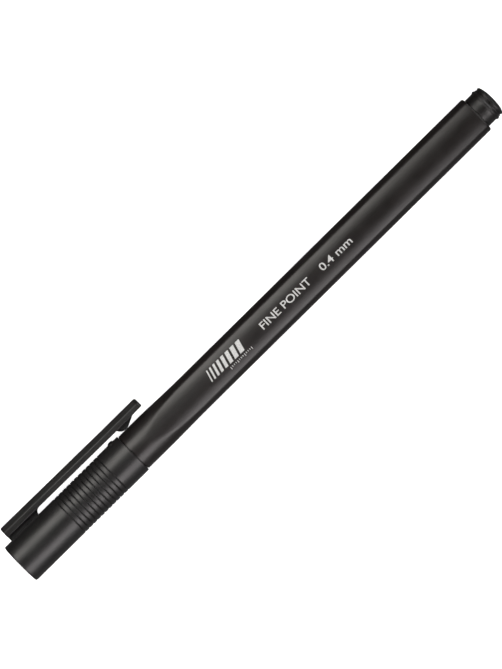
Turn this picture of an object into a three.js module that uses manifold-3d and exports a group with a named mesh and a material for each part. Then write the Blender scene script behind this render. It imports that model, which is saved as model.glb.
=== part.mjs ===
// A capped fineliner: a three-sided barrel with a round cap, a moulded clip and a stepped tail plug.
// Millimetres, +Z up. The pen lies along X, its point towards -X, its clip towards +Y and one facet up.
// Stations are distances along the pen from the cap's closed end.
import * as THREE from "three";
import { mergeVertices } from "three/addons/utils/BufferGeometryUtils.js";
import Module from "manifold-3d";

const wasm = await Module();
wasm.setup();

// Driving dimensions.
const LENGTH = 160;
const CAP_R = 5.54;
const CLIP_TOP = 9.52; // the clip's outer face at its root, from the pen's axis
const AXIS_Y = (CAP_R - CLIP_TOP) / 2; // centres the whole pen's box on Y
const AXIS_Z = CAP_R; // the cap's side touches Z = 0
const SEAM = 0.05; // gap between pieces that touch
const SIDES = 36; // facets round a turned piece
const FINE_SIDES = 48; // facets round the barrel

// Cap.
const CAP_MOUTH = 38.18;
const CAP_FLOOR = 1.2;
const CAP_BORE_R = 4.5;
const CAP_EDGE = 0.5; // rounding of the closed end
const GROOVES = 12;
const GROOVE_FIRST = 16.82;
const GROOVE_PITCH = 1.308;
const GROOVE_WIDTH = 0.3;
const GROOVE_DEPTH = 0.2;
const NUB = { from: 35.05, to: 36.85, height: 0.36, width: 3 };

// Clip: a bar with bevelled outer edges on a narrower root block.
const CLIP_START = 2.45;
const CLIP_END = 47.72;
const CLIP_SPLIT = 13.2; // where the free arm begins, just past the root block's fillet
const CLIP_BOTTOM = 6.76; // the clip's inner face at its root
const CLIP_DROP = 0.26; // how far the inner face leans towards the axis along the whole clip
const CLIP_LIFT = 0.2; // how far the tip turns away from the axis again, past the bead
const CLIP_WIDTH = 5;
const CLIP_BEVEL = 1.15; // across each outer edge
const CLIP_TAPER_END = 36;
const CLIP_THIN = 0.26; // how much lower the outer face lies past the taper
const CLIP_SIDE_TOP = 8.12; // where the side meets the bevel, at the root
const CLIP_CORNER = 1; // plan radius of the free end's corners
const BLOCK_WIDTH = 2.4;
const BLOCK_FRONT = 11.6;
const BLOCK_FILLET = 1.3;
const BEAD = { from: 39.1, low: 40.4, rise: 41.8, to: 44.5, tip: 5.34, width: 2.4 };

// Barrel: a round bar with three shallow facets, each of which runs out in a tongue at the front.
const BARREL_FRONT = 38.28;
const BARREL_END = 154.6;
const BARREL_R = 5.28;
const BARREL_BORE_R = 3.4;
const BARREL_CHAMFER = 0.5;
const FACET_R = 9.3; // the facets bulge a little
const FACET_APEX = 4.52; // the middle of a facet, from the axis
const BARREL_TURN = (3 * Math.PI) / 180; // the upper facet leans this far away from the clip
const TONGUE_START = 43.8;
const TONGUE_LENGTH = 15.5;
const TONGUE_STEPS = 8;

// Tail plug.
const PLUG_R = 4.24;
const PLUG_BEAD = { at: 157.6, half: 0.6, height: 0.3 };
const PLUG_GROOVE = { at: 158.6, half: 0.2, depth: 0.14 };
const PLUG_DOME = 0.8;
const PLUG_SPIGOT_FRONT = 147.6;
const PLUG_HOLLOW_END = 156.4;
const PLUG_HOLLOW_R = 2.4;

// Point assembly inside the cap.
const HOLDER_REAR = 50;
const SPIGOT_R = 3.32;
const NECK_FRONT = 28.5;
const NECK_R = 4.1;
const SNAP_BEAD = { at: 33.8, half: 0.7, height: 0.24 };
const LAND_FRONT = 24.6;
const LAND_R = 3.1;
const CONE_FRONT = 18.2;
const CONE_FRONT_R = 1.05;
const SLEEVE_FRONT = 13.7;
const SLEEVE_REAR = 23.6;
const SLEEVE_R = 0.55;
const SLEEVE_BORE_R = 0.42;
const NIB_TIP = 13;
const NIB_TIP_R = 0.2;
const NIB_R = 0.34;
const FEED_R = 0.9; // the nib's thick rear stretch
const FEED_FRONT = 24.2;
const FEED_REAR = 57;

// Liner.
const LINER_REAR = 1.3;
const LINER_MOUTH = 27;
const LINER_R = 4.05;
const LINER_BAND_R = 4.36;
const LINER_BAND = 3; // length of the band that grips the cap, at each end
const LINER_BORE_R = 3.3;
const LINER_FLOOR = 1;

// Ink core.
const CORE_FRONT = 50.4;
const CORE_REAR = 147.2;
const CORE_R = 2.9;
const FILM_BORE_R = 2.96;
const FILM_R = 3.12;

// ---------------------------------------------------------------- geometry helpers

function solid(geometry) {
  geometry.deleteAttribute("normal");
  geometry.deleteAttribute("uv");
  const merged = mergeVertices(geometry, 1e-4);
  const vertProperties = merged.getAttribute("position").array;
  const triVerts = new Uint32Array(merged.index.array);
  return new wasm.Manifold(new wasm.Mesh({ numProp: 3, vertProperties, triVerts }));
}

function geometryOf(manifold) {
  const mesh = manifold.getMesh();
  const geometry = new THREE.BufferGeometry();
  const flat = new Float32Array(mesh.numVert * 3);
  for (let i = 0; i < mesh.numVert; i++) {
    const start = i * mesh.numProp;
    flat.set(mesh.vertProperties.subarray(start, start + 3), i * 3);
  }
  geometry.setAttribute("position", new THREE.BufferAttribute(flat, 3));
  geometry.setIndex(new THREE.BufferAttribute(mesh.triVerts, 1));
  geometry.computeVertexNormals();
  return geometry;
}

// A turned piece. The profile is [station, radius] pairs from the low station to the high one and back.
function turned(profile, sides = SIDES) {
  const points = profile.map(([station, radius]) => new THREE.Vector2(radius, station));
  const geometry = new THREE.LatheGeometry(points, sides);
  geometry.rotateZ(-Math.PI / 2);
  return geometry;
}

// A block drawn in the X-Y plane and extruded along Z, centred on the axis.
function slab(shape, width, curveSegments = 6) {
  const geometry = new THREE.ExtrudeGeometry(shape, { depth: width, bevelEnabled: false, curveSegments });
  geometry.translate(0, 0, -width / 2);
  return geometry;
}

function outline(points) {
  return new THREE.Shape(points.map(([x, y]) => new THREE.Vector2(x, y)));
}

// Points of a bead or groove of half-width `half` and height `height` on a surface of radius `radius`.
function ridge({ at, half, height }, radius, steps = 4) {
  const points = [];
  for (let i = 0; i <= steps; i++) {
    const t = -1 + (2 * i) / steps;
    points.push([at + half * t, radius + height * (1 - t * t)]);
  }
  return points;
}

// ---------------------------------------------------------------- cap

function grooveProfile() {
  const points = [];
  for (let i = 0; i < GROOVES; i++) {
    const at = GROOVE_FIRST + i * GROOVE_PITCH;
    points.push([at - GROOVE_WIDTH / 2, CAP_R]);
    points.push([at, CAP_R - GROOVE_DEPTH]);
    points.push([at + GROOVE_WIDTH / 2, CAP_R]);
  }
  return points;
}

function capBody() {
  return turned([
    [0, 0],
    [0, CAP_R - CAP_EDGE],
    [0.3 * CAP_EDGE, CAP_R - 0.3 * CAP_EDGE],
    [CAP_EDGE, CAP_R],
    ...grooveProfile(),
    [CAP_MOUTH - 0.15, CAP_R],
    [CAP_MOUTH, CAP_R - 0.15],
    [CAP_MOUTH, CAP_BORE_R + 0.2],
    [CAP_MOUTH - 0.4, CAP_BORE_R],
    [CAP_FLOOR, CAP_BORE_R],
    [CAP_FLOOR, 0],
  ]);
}

function clipRise(station) {
  const t = Math.min(1, Math.max(0, (station - CLIP_START) / (CLIP_TAPER_END - CLIP_START)));
  return CLIP_TOP - CLIP_THIN * t;
}

// How far the clip's inner face lies from the pen's axis.
function clipUnder(station) {
  const lean = (station - CLIP_START) / (CLIP_END - CLIP_START);
  const tip = Math.max(0, (station - BEAD.low) / (CLIP_END - BEAD.low));
  return CLIP_BOTTOM - CLIP_DROP * lean + CLIP_LIFT * tip;
}

// The clip bar's section at a station, as a ring of points [y, z] from the axis.
function clipSection(station, halfWidth) {
  const top = clipRise(station);
  const under = clipUnder(station);
  const shoulder = top - (CLIP_TOP - CLIP_SIDE_TOP);
  const flat = halfWidth - CLIP_BEVEL;
  return [
    [under, -halfWidth],
    [shoulder, -halfWidth],
    [top, -flat],
    [top, flat],
    [shoulder, halfWidth],
    [under, halfWidth],
  ];
}

// The clip bar between two stations: an extruded section whose rings are then moved to their stations.
function clipBar(from, to) {
  const stations = [from];
  if (to > CLIP_TAPER_END) {
    stations.push(CLIP_TAPER_END);
  }
  const roundFrom = CLIP_END - CLIP_CORNER;
  if (to > roundFrom) {
    stations.push(BEAD.low, roundFrom, CLIP_END - 0.5 * CLIP_CORNER, CLIP_END - 0.13 * CLIP_CORNER);
  }
  stations.push(to);
  const shape = outline(clipSection(from, CLIP_WIDTH / 2));
  const geometry = new THREE.ExtrudeGeometry(shape, {
    depth: stations.length - 1,
    steps: stations.length - 1,
    bevelEnabled: false,
  });
  const position = geometry.getAttribute("position");
  const base = clipSection(from, CLIP_WIDTH / 2);
  for (let i = 0; i < position.count; i++) {
    const ring = Math.round(position.getZ(i));
    const station = stations[ring];
    const past = Math.max(0, (station - roundFrom) / CLIP_CORNER);
    const halfWidth = CLIP_WIDTH / 2 - CLIP_CORNER * (1 - Math.sqrt(1 - Math.min(1, past) ** 2));
    const corner = base.findIndex(
      ([y, z]) => Math.abs(y - position.getX(i)) < 1e-4 && Math.abs(z - position.getY(i)) < 1e-4,
    );
    const [y, z] = clipSection(station, halfWidth)[corner];
    position.setXYZ(i, station, y, z);
  }
  return geometry;
}

// The root block joins the bar to the cap, with a concave fillet towards the free arm.
function rootBlock() {
  const end = BLOCK_FRONT + BLOCK_FILLET;
  const middle = clipUnder(end) - BLOCK_FILLET;
  const shape = new THREE.Shape();
  shape.moveTo(CLIP_START, CAP_R - 0.6);
  shape.lineTo(BLOCK_FRONT, CAP_R - 0.6);
  shape.lineTo(BLOCK_FRONT, middle);
  shape.absarc(end, middle, BLOCK_FILLET, Math.PI, Math.PI / 2, true);
  shape.lineTo(end, CLIP_BOTTOM + 0.2);
  shape.lineTo(CLIP_START, CLIP_BOTTOM + 0.2);
  return slab(shape, BLOCK_WIDTH);
}

// A small raised index mark under the clip, near the cap's mouth.
function nub() {
  const middle = (NUB.from + NUB.to) / 2;
  const half = (NUB.to - NUB.from) / 2;
  const shape = new THREE.Shape();
  shape.moveTo(NUB.from, CAP_R - 0.5);
  shape.lineTo(NUB.to, CAP_R - 0.5);
  shape.lineTo(NUB.to, CAP_R - 0.1);
  shape.quadraticCurveTo(middle, CAP_R + 2 * NUB.height, middle - half, CAP_R - 0.1);
  return slab(shape, NUB.width, 8);
}

function capShell() {
  const clipRoot = solid(clipBar(CLIP_START, CLIP_SPLIT - SEAM));
  return solid(capBody()).add(clipRoot).add(solid(rootBlock())).add(solid(nub()));
}

function clipBead() {
  const shape = new THREE.Shape();
  shape.moveTo(BEAD.from, CLIP_BOTTOM + 0.3);
  shape.lineTo(BEAD.from, clipUnder(BEAD.from));
  shape.quadraticCurveTo(BEAD.low - 0.5, BEAD.tip + 0.25, BEAD.low, BEAD.tip + 0.1);
  shape.quadraticCurveTo((BEAD.low + BEAD.rise) / 2, BEAD.tip - 0.1, BEAD.rise, BEAD.tip + 0.1);
  shape.lineTo(BEAD.to, clipUnder(BEAD.to));
  shape.lineTo(BEAD.to, CLIP_BOTTOM + 0.3);
  return slab(shape, BEAD.width, 5);
}

function clipArm() {
  return solid(clipBar(CLIP_SPLIT, CLIP_END)).add(solid(clipBead()));
}

function innerCap() {
  return turned([
    [LINER_REAR, 0],
    [LINER_REAR, LINER_BAND_R],
    [LINER_REAR + LINER_BAND, LINER_BAND_R],
    [LINER_REAR + LINER_BAND + 0.3, LINER_R],
    [LINER_MOUTH - LINER_BAND - 0.3, LINER_R],
    [LINER_MOUTH - LINER_BAND, LINER_BAND_R],
    [LINER_MOUTH, LINER_BAND_R],
    [LINER_MOUTH, LINER_BORE_R + 0.4],
    [LINER_MOUTH - 0.6, LINER_BORE_R],
    [LINER_REAR + LINER_FLOOR, LINER_BORE_R],
    [LINER_REAR + LINER_FLOOR, 0],
  ]);
}

// ---------------------------------------------------------------- barrel

// How far a facet's middle lies from the axis: it sinks from the round front to its full depth.
function facetApex(station) {
  const t = Math.min(1, Math.max(0, (station - TONGUE_START) / TONGUE_LENGTH));
  return FACET_APEX + (BARREL_R - FACET_APEX) * (1 - t) ** 2;
}

// The barrel's outer radius at a station, in a direction measured from straight up.
function barrelRadius(station, angle) {
  const third = (2 * Math.PI) / 3;
  const fromFacet = angle + BARREL_TURN;
  const off = fromFacet - third * Math.round(fromFacet / third);
  const centre = FACET_R - facetApex(station);
  const facet = Math.sqrt(FACET_R ** 2 - (centre * Math.sin(off)) ** 2) - centre * Math.cos(off);
  return Math.min(BARREL_R, facet);
}

function barrel() {
  const tongue = [];
  for (let i = 0; i <= TONGUE_STEPS; i++) {
    tongue.push([TONGUE_START + (TONGUE_LENGTH * i) / TONGUE_STEPS, BARREL_R]);
  }
  const edge = BARREL_CHAMFER;
  const geometry = turned(
    [
      [BARREL_FRONT, BARREL_BORE_R],
      [BARREL_FRONT, BARREL_R - 0.15],
      [BARREL_FRONT + 0.15, BARREL_R],
      ...tongue,
      [BARREL_END - edge, BARREL_R],
      [BARREL_END, BARREL_R - edge],
      [BARREL_END, BARREL_BORE_R],
      [BARREL_FRONT, BARREL_BORE_R],
    ],
    FINE_SIDES,
  );
  // The lathe's rings are pulled in to the three facets.
  const position = geometry.getAttribute("position");
  for (let i = 0; i < position.count; i++) {
    const [x, y, z] = [position.getX(i), position.getY(i), position.getZ(i)];
    const radius = Math.hypot(y, z);
    if (radius > BARREL_BORE_R + SEAM) {
      const wanted = radius - BARREL_R + barrelRadius(x, Math.atan2(y, z));
      position.setXYZ(i, x, (y * wanted) / radius, (z * wanted) / radius);
    }
  }
  return geometry;
}

// ---------------------------------------------------------------- point, ink and tail

function nibHolder() {
  return turned([
    [CONE_FRONT, SLEEVE_R + SEAM],
    [CONE_FRONT, CONE_FRONT_R - 0.15],
    [CONE_FRONT + 0.15, CONE_FRONT_R],
    [LAND_FRONT - 1.4, LAND_R - 0.25],
    [LAND_FRONT, LAND_R],
    [NECK_FRONT - 0.4, LAND_R],
    [NECK_FRONT, NECK_R - 0.2],
    [NECK_FRONT + 0.3, NECK_R],
    ...ridge(SNAP_BEAD, NECK_R),
    [BARREL_FRONT - SEAM, NECK_R],
    [BARREL_FRONT - SEAM, SPIGOT_R],
    [HOLDER_REAR - 0.5, SPIGOT_R],
    [HOLDER_REAR, SPIGOT_R - 0.4],
    [HOLDER_REAR, FEED_R + SEAM],
    [SLEEVE_REAR + SEAM, FEED_R + SEAM],
    [SLEEVE_REAR + SEAM, SLEEVE_R + SEAM],
    [CONE_FRONT, SLEEVE_R + SEAM],
  ]);
}

function nibSleeve() {
  return turned(
    [
      [SLEEVE_FRONT, NIB_TIP_R + SEAM],
      [SLEEVE_FRONT, SLEEVE_R - 0.15],
      [SLEEVE_FRONT + 0.5, SLEEVE_R],
      [SLEEVE_REAR, SLEEVE_R],
      [SLEEVE_REAR, SLEEVE_BORE_R],
      [SLEEVE_FRONT + 0.7, SLEEVE_BORE_R],
      [SLEEVE_FRONT + 0.3, NIB_TIP_R + SEAM],
      [SLEEVE_FRONT, NIB_TIP_R + SEAM],
    ],
    20,
  );
}

function nibRod() {
  return turned(
    [
      [NIB_TIP, 0],
      [NIB_TIP, NIB_TIP_R - 0.06],
      [NIB_TIP + 0.15, NIB_TIP_R],
      [SLEEVE_FRONT + 0.5, NIB_TIP_R],
      [SLEEVE_FRONT + 1, NIB_R],
      [FEED_FRONT - 0.4, NIB_R],
      [FEED_FRONT, FEED_R],
      [FEED_REAR - 0.6, FEED_R],
      [FEED_REAR, 0.3],
      [FEED_REAR, 0],
    ],
    20,
  );
}

function inkReservoir() {
  return turned(
    [
      [CORE_FRONT, FEED_R + SEAM],
      [CORE_FRONT, CORE_R],
      [CORE_REAR, CORE_R],
      [CORE_REAR, 0],
      [FEED_REAR + SEAM, 0],
      [FEED_REAR + SEAM, FEED_R + SEAM],
      [CORE_FRONT, FEED_R + SEAM],
    ],
    24,
  );
}

function reservoirFilm() {
  return turned(
    [
      [CORE_FRONT + 0.6, FILM_BORE_R],
      [CORE_FRONT + 0.6, FILM_R],
      [CORE_REAR - 0.6, FILM_R],
      [CORE_REAR - 0.6, FILM_BORE_R],
      [CORE_FRONT + 0.6, FILM_BORE_R],
    ],
    24,
  );
}

function tailPlug() {
  const dome = [];
  for (let i = 0; i <= 3; i++) {
    const t = i / 3;
    dome.push([LENGTH - PLUG_DOME * (1 - t) ** 2, PLUG_R * (1 - t)]);
  }
  const groove = { at: PLUG_GROOVE.at, half: PLUG_GROOVE.half, height: -PLUG_GROOVE.depth };
  return turned([
    [PLUG_SPIGOT_FRONT, PLUG_HOLLOW_R],
    [PLUG_SPIGOT_FRONT, SPIGOT_R - 0.3],
    [PLUG_SPIGOT_FRONT + 0.5, SPIGOT_R],
    [BARREL_END + SEAM, SPIGOT_R],
    [BARREL_END + SEAM, PLUG_R],
    ...ridge(PLUG_BEAD, PLUG_R),
    ...ridge(groove, PLUG_R, 2),
    ...dome,
    [PLUG_HOLLOW_END, 0],
    [PLUG_HOLLOW_END, PLUG_HOLLOW_R],
    [PLUG_SPIGOT_FRONT, PLUG_HOLLOW_R],
  ]);
}

// ---------------------------------------------------------------- assembly

const BLACK = { color: 0x2a2a2b, roughness: 0.45, metalness: 0 };
const STEEL = { color: 0xc4c6c8, roughness: 0.3, metalness: 1 };
const NATURAL = { color: 0xdadad2, roughness: 0.5, metalness: 0 };
const FIBRE = { color: 0x23232c, roughness: 0.9, metalness: 0 };

const pen = new THREE.Group();
pen.position.set(-LENGTH / 2, AXIS_Y, AXIS_Z);

function addPiece(name, made, finish) {
  const geometry = made instanceof THREE.BufferGeometry ? made : geometryOf(made);
  const mesh = new THREE.Mesh(geometry, new THREE.MeshStandardMaterial(finish));
  mesh.name = name;
  pen.add(mesh);
}

addPiece("cap_shell", capShell(), BLACK);
addPiece("clip_arm", clipArm(), BLACK);
addPiece("inner_cap", innerCap(), NATURAL);
addPiece("barrel", barrel(), BLACK);
addPiece("nib_holder", nibHolder(), BLACK);
addPiece("nib_sleeve", nibSleeve(), STEEL);
addPiece("nib_rod", nibRod(), FIBRE);
addPiece("ink_reservoir", inkReservoir(), FIBRE);
addPiece("reservoir_film", reservoirFilm(), NATURAL);
addPiece("tail_plug", tailPlug(), BLACK);

export default pen;
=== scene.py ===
"""A capped fineliner pen: fine meshes, materials, light and camera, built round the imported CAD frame."""

import math

import bmesh
import bpy
from mathutils import Matrix, Vector


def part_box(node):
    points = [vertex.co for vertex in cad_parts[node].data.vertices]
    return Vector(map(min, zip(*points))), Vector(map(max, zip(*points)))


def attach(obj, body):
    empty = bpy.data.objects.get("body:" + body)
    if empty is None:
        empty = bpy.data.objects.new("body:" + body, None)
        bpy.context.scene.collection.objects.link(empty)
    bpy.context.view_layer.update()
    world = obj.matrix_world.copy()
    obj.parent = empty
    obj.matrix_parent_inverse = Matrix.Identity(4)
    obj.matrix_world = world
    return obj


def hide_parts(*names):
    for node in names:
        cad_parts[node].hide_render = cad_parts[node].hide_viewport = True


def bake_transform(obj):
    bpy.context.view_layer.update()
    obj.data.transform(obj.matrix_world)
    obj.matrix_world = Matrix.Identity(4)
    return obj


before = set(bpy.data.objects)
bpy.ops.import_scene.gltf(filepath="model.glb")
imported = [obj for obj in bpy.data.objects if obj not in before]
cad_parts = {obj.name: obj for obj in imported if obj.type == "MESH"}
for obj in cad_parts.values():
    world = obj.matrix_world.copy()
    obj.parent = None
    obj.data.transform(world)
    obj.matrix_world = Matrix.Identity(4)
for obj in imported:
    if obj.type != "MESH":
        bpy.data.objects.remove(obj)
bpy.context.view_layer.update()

MM = 0.001
TURN = 2 * math.pi

# Places taken from the frame. Stations run along the pen, in mm from the cap's closed end.
cap_low, cap_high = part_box("cap_shell")
clip_low, clip_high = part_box("clip_arm")
liner_low, liner_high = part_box("inner_cap")
barrel_low, barrel_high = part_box("barrel")
holder_low, holder_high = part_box("nib_holder")
sleeve_low, sleeve_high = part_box("nib_sleeve")
nib_low, nib_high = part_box("nib_rod")
core_low, core_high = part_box("ink_reservoir")
film_low, film_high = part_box("reservoir_film")
plug_low, plug_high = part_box("tail_plug")

START_X = cap_low.x
AXIS_Y = (plug_low.y + plug_high.y) / 2
AXIS_Z = (plug_low.z + plug_high.z) / 2


def station_of(x):
    """The station, in mm, of an X in the frame."""
    return (x - START_X) / MM


def place(station, across, up):
    """The point at a station, with its offsets from the pen's axis towards the clip and upwards, in mm."""
    return (START_X + station * MM, AXIS_Y + across * MM, AXIS_Z + up * MM)


SEAM = 0.05  # gap between pieces that touch
EDGE = 0.1  # usual rounding of a small edge

# Cap.
CAP_R = (AXIS_Z - cap_low.z) / MM
CAP_MOUTH = station_of(cap_high.x)
CAP_FLOOR = 1.2
CAP_BORE_R = 4.5
CAP_EDGE = 0.5  # rounding of the closed end and of the bore's floor
CAP_LEAD = 0.15  # how much wider the bore is at the mouth
CAP_LEAD_LONG = 0.45
CAP_CROWN = 0.03  # how much the closed end falls towards its middle
GATE_R = 1.0  # the moulding mark in the middle of the closed end
GATE_DEPTH = 0.2
GATE_WALL = 0.15
GROOVES = 12
GROOVE_FIRST = 16.82
GROOVE_PITCH = 1.308
GROOVE_HALF = 0.11  # this far from its middle a groove has lost two thirds of its depth
GROOVE_DEPTH = 0.17
LAND_PILLOW = 0.04  # how much each land between grooves is crowned
NUB_FROM = 35.05
NUB_TO = 36.7
NUB_HEIGHT = 0.36
NUB_REACH = math.radians(24)  # half the nub's width round the cap
NUB_MARGIN = 0.3  # stretch of close rings on each side of the nub

# Clip.
CLIP_START = 2.45
CLIP_END = station_of(clip_high.x)
CLIP_BOTTOM = 6.76
CLIP_DROP = 0.26  # how far the inner face leans towards the axis along the whole clip
CLIP_LIFT = 0.2  # how far the tip turns away from the axis again, past the bead
CLIP_LIFT_FROM = 40.4
CLIP_TOP = (cap_high.y - AXIS_Y) / MM
CLIP_THIN = 0.26  # how much lower the outer face lies past the taper
CLIP_TAPER_END = 36
CLIP_SIDE = 1.4  # how far below the outer face the side meets the bevel
CLIP_WIDTH = (clip_high.z - clip_low.z) / MM
CLIP_BEVEL = 1.15
CLIP_CORNER = 1.0
ROOT_ROUND = 0.2
END_ROUND = 0.2
ROOT_CORNER = 0.5  # rounding of the outer face down to the root end
TIP_CORNER = 0.6  # rounding of the outer face down to the free end
UNDER_EDGE = 0.24  # rounding of the inner face's edges
SHOULDER_EDGE = 0.38  # rounding where the side meets the bevel
TOP_EDGE = 0.3  # rounding where the bevel meets the outer face
BAR_STEPS = 42
BLOCK_WIDTH = 2.4  # of the root block and of the bead
BLOCK_FRONT = 11.6
BLOCK_FILLET = 1.3
BLOCK_INSET = 0.02  # the block's rear face, behind the bar's
BLOCK_EDGE = 0.15
WALL_SINK = 0.5  # how far the block reaches into the cap's wall
BAR_SINK = 0.4  # how far block and bead reach into the bar
BEAD_FROM = 39.1
BEAD_TO = 44.5
BEAD_HOLLOW = (0.5, 0.3)  # the steep front bends this far behind its start and this far off the barrel
BEAD_TIP = ((40.55, 0.06), (40.8, 0.015), (41.2, 0.01), (41.55, 0.02), (41.9, 0.12))  # station, gap

# Barrel.
BARREL_FRONT = station_of(barrel_low.x)
BARREL_END = station_of(barrel_high.x)
BARREL_R = (AXIS_Z - barrel_low.z) / MM
BARREL_BORE_R = 3.4
BARREL_END_EDGE = 0.6
SEAM_R = 5.07  # the lip at the front face, which leaves a narrow dark groove beside the cap
SEAM_STEP = 0.14
FACET_R = 9.3  # the facets bulge a little
FACET_APEX = 4.52  # the middle of a facet, from the axis
CREASE = 0.14  # softness of the line where a facet meets the round
BARREL_TURN = math.radians(3)  # the upper facet leans this far away from the clip
TONGUE_START = 43.8
TONGUE_LENGTH = 15.5

# Liner.
LINER_R = 4.05
LINER_BAND_R = 4.36
LINER_BAND = 3  # length of the band that grips the cap, at each end
LINER_STEP = 0.3
LINER_BORE_R = 3.3
LINER_FLOOR = 1
LINER_LIP = 0.6
LINER_LIP_R = 3.7

# Point assembly.
SPIGOT_R = 3.32  # fits the barrel's bore, as the tail plug's spigot does
NECK_FRONT = 28.5
NECK_R = 4.1
SNAP_AT = 33.8
SNAP_HALF = 0.7
SNAP_HEIGHT = 0.24
SNAP_ROOM = 2.2  # from the snap ring's middle to where the plain neck goes on
LAND_FRONT = 24.6
LAND_R = 3.1
SHOULDER = 23.2  # where the cone eases off towards the land
SHOULDER_R = 2.85
CONE_FRONT_R = 1.05
SLEEVE_R = 0.55
SLEEVE_BORE_R = 0.42
SLEEVE_MOUTH_R = 0.24
SLEEVE_TIP_R = 0.36
SLEEVE_REAR = station_of(sleeve_high.x)
NIB_TIP_R = 0.2
NIB_ROUND = 0.16
NIB_R = 0.34
FEED_R = 0.9  # the nib's thick rear stretch
FEED_FRONT = 24.2

# Ink core.
CORE_R = 2.9
CORE_EDGE = 0.25
FLUTES = 24
FLUTE_DEPTH = 0.03
FILM_BORE_R = 2.96
FILM_R = 3.12
FILM_EDGE = 0.03

# Tail plug.
PLUG_END = station_of(plug_high.x)
PLUG_R = 4.24
PLUG_FLANGE = 1.2
PLUG_HOLLOW_R = 2.4
PLUG_HOLLOW_END = 156.4
PLUG_BEAD = 157.55
PLUG_BEAD_HALF = 0.62
PLUG_BEAD_HEIGHT = 0.3
PLUG_GROOVE = 158.48  # the front of the groove's floor
PLUG_GROOVE_WIDTH = 0.2
PLUG_GROOVE_DEPTH = 0.16
PLUG_DOME = 0.82
DOME_RIM = 0.75  # under 1, so that the dome's rim stays full
DOME_RISE = 1.4  # over 1, so that the dome's middle stays flat

# Print, on the upper facet. Across is measured from the facet's middle line.
PRINT_THICK = 0.02
PRINT_REACH = 3  # the artwork stays within this distance of the middle line
PRINT_CUTS = 24
WORDS_MIDDLE = 0.15
WORDS_HEIGHT = 1.95
WORDS_BOLD = 0.008  # how much the strokes are thickened, of the typeface's size
NAME_SPAN = (81.5, 97.75)
SIZE_SPAN = (101.5, 111.65)
GAUGE_FROM = 63.8
GAUGE_BARS = 8
GAUGE_LOW = -0.95
GAUGE_HIGH = 1.95
GAUGE_LEAN = 0.28
GAUGE_THIN = 0.34  # width of the first bar
GAUGE_GROWTH = 0.14  # how much wider each next bar is
GAUGE_GAP = 0.62
TICKS = 13
TICK_FROM = 69.4
TICK_PITCH = 0.58
TICK_WIDTH = 0.16
TICK_TOP = -1.5
TICK_SHORT = -1.9
TICK_LONG = -2.2
TICKS_PER_LONG = 4


# ------------------------------------------------------------------ mesh helpers


def new_object(name, mesh, material, sharp_deg=32):
    """A smooth-shaded object whose edges over sharp_deg stay crisp."""
    for polygon in mesh.polygons:
        polygon.use_smooth = True
    mesh.set_sharp_from_angle(angle=math.radians(sharp_deg))
    piece = bpy.data.objects.new(name, mesh)
    bpy.context.scene.collection.objects.link(piece)
    piece.data.materials.append(material)
    return piece


def fillet(corners, steps=5):
    """Rounds a polyline of (a, b, radius) corners: each corner with a radius becomes a short curve."""
    points = []
    for i, (a, b, radius) in enumerate(corners):
        if radius == 0 or i in (0, len(corners) - 1):
            points.append((a, b))
            continue
        here = Vector((a, b))
        before = Vector(corners[i - 1][:2]) - here
        after = Vector(corners[i + 1][:2]) - here
        reach = radius * math.tan((math.pi - before.angle(after)) / 2)
        reach = min(reach, before.length * 0.49, after.length * 0.49)
        low = here + before.normalized() * reach
        high = here + after.normalized() * reach
        for j in range(steps + 1):
            t = j / steps
            point = low.lerp(here, t).lerp(here.lerp(high, t), t)
            points.append((point.x, point.y))
    return points


def ring_mesh(name, rings, closed=False):
    """A closed mesh through rings of points. A ring of one point is a pole; closed joins last to first."""
    points = []
    starts = []
    for ring in rings:
        starts.append(len(points))
        points.extend(ring)
    faces = []
    pairs = list(zip(range(len(rings)), range(1, len(rings))))
    if closed:
        pairs.append((len(rings) - 1, 0))
    for a, b in pairs:
        count_a = len(rings[a])
        count_b = len(rings[b])
        for i in range(max(count_a, count_b)):
            a0 = starts[a] + i % count_a
            a1 = starts[a] + (i + 1) % count_a
            b0 = starts[b] + i % count_b
            b1 = starts[b] + (i + 1) % count_b
            if count_a == 1:
                faces.append((a0, b1, b0))
            elif count_b == 1:
                faces.append((a0, a1, b0))
            else:
                faces.append((a0, a1, b1, b0))
    mesh = bpy.data.meshes.new(name)
    mesh.from_pydata(points, [], faces)
    mesh.update()
    return mesh


def turned(name, profile, material, sides, closed=False, bulge=None):
    """A turned piece from (station, radius) points. bulge(station, radius, angle) may change the radius."""
    rings = []
    for station, radius in profile:
        if radius < 1e-6:
            rings.append([place(station, 0, 0)])
            continue
        ring = []
        for i in range(sides):
            angle = TURN * i / sides
            wide = radius if bulge is None else bulge(station, radius, angle)
            ring.append(place(station, wide * math.sin(angle), wide * math.cos(angle)))
        rings.append(ring)
    mesh = ring_mesh(name, rings, closed)
    tidy_normals(mesh)
    return new_object(name, mesh, material)


def tidy_normals(mesh):
    """Turns every face outwards."""
    work = bmesh.new()
    work.from_mesh(mesh)
    bmesh.ops.remove_doubles(work, verts=work.verts, dist=1e-8)
    bmesh.ops.recalc_face_normals(work, faces=work.faces)
    if work.calc_volume(signed=True) < 0:
        bmesh.ops.reverse_faces(work, faces=work.faces)
    work.to_mesh(mesh)
    work.free()


def stretch(low, high, steps):
    """Evenly spaced values from low to high, both included."""
    return [low + (high - low) * i / steps for i in range(steps + 1)]


# ------------------------------------------------------------------ materials


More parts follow.
